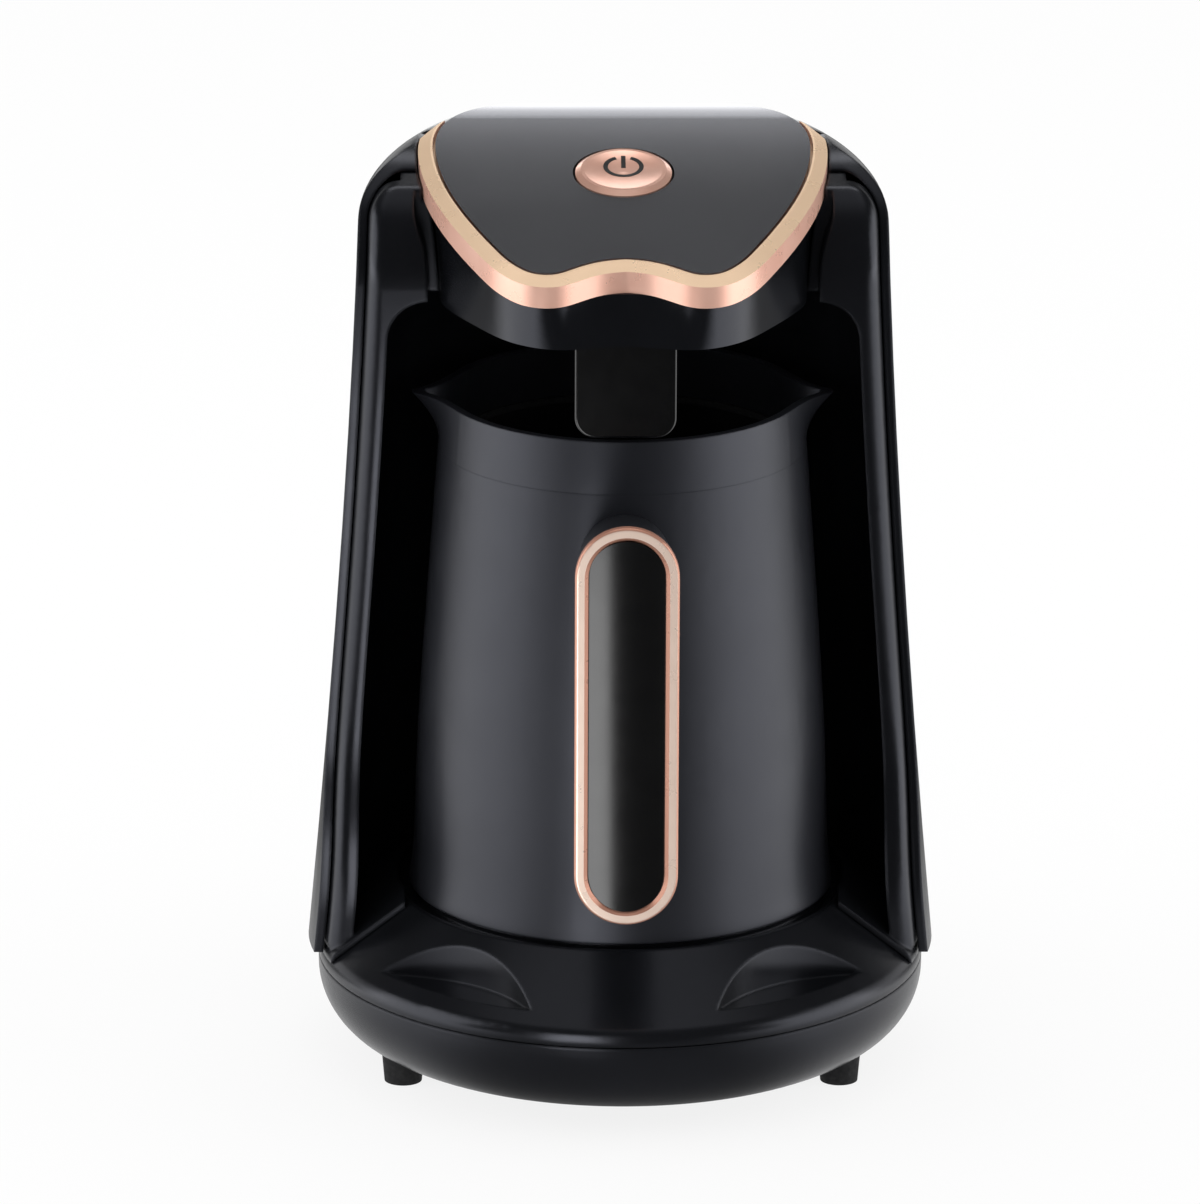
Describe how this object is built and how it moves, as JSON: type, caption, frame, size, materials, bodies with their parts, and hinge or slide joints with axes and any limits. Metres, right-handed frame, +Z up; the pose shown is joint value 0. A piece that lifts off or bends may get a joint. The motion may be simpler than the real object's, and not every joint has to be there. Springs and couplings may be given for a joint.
{
  "type": "coffee maker",
  "caption": "Electric turkish coffee maker: a black pot with two lips and a front handle, cradled by a stand with a wavy head, a tilted lid and one push button.",
  "frame": {"origin": "on the pot's axis, at the height of the feet's lowest points", "axes": "+Z up, -Y to the front where the handle is, +X to the right seen from the front"},
  "size_m": [0.154, 0.1675, 0.2302],
  "materials": {
    "gloss_shell": "injection moulded ABS, high gloss",
    "pot_plastic": "moulded heat-proof plastic, satin gloss",
    "smoked_plastic": "smoked polycarbonate, polished",
    "inner_plastic": "moulded nylon, plain",
    "rubber": "moulded elastomer, matte",
    "rose_gold": "rose gold plating on moulded plastic, satin",
    "graphite_lid": "graphite lacquer, satin",
    "steel": "drawn stainless steel, brushed",
    "screw_steel": "zinc plated",
    "aluminium": "pressed plate",
    "brass": "turned and tin washed",
    "circuit_board": "solder mask on glass laminate"
  },
  "bodies": {
    "stand": {"base_bowl": "gloss_shell", "base_feet": "rubber", "base_screws": "screw_steel", "base_deck": "gloss_shell", "power_board": "circuit_board", "cord_inlet": "rubber", "cord_clamp": "inner_plastic", "clamp_screws": "screw_steel", "cradle_frame": "gloss_shell", "back_cover": "gloss_shell", "back_cover_screws": "screw_steel", "socket_housing": "inner_plastic", "socket_contacts": "brass", "head_shell": "gloss_shell", "head_screws": "screw_steel", "sensor_tongue": "smoked_plastic", "sensor_board": "circuit_board", "control_board": "circuit_board", "board_screws": "screw_steel", "buzzer": "inner_plastic", "push_switch": "inner_plastic", "trim_ring": "rose_gold", "lid_panel": "graphite_lid"},
    "button": {"button_cap": "rose_gold", "button_stem": "inner_plastic", "switch_plunger": "inner_plastic"},
    "pot": {"pot_shell": "pot_plastic", "pot_liner": "steel", "pot_seal": "rubber", "heater_plate": "aluminium", "heating_element": "steel", "thermostat": "inner_plastic", "pot_base_cover": "pot_plastic", "pot_base_screws": "screw_steel", "pot_plug": "inner_plastic", "pot_pins": "brass", "pot_handle": "pot_plastic", "handle_screws": "screw_steel", "handle_trim": "rose_gold", "handle_insert": "gloss_shell"}
  },
  "joints": [
    {"name": "button_press", "type": "slide", "parent": "stand", "child": "button", "axis": [0, 0.2385, -0.9711], "range_m": [0, 0.0012], "stiffness_N_per_m": 1200, "springref_m": -0.0006},
    {"name": "pot_slide", "type": "slide", "parent": "stand", "child": "pot", "axis": [0, -1, 0], "range_m": [0, 0.17]}
  ]
}
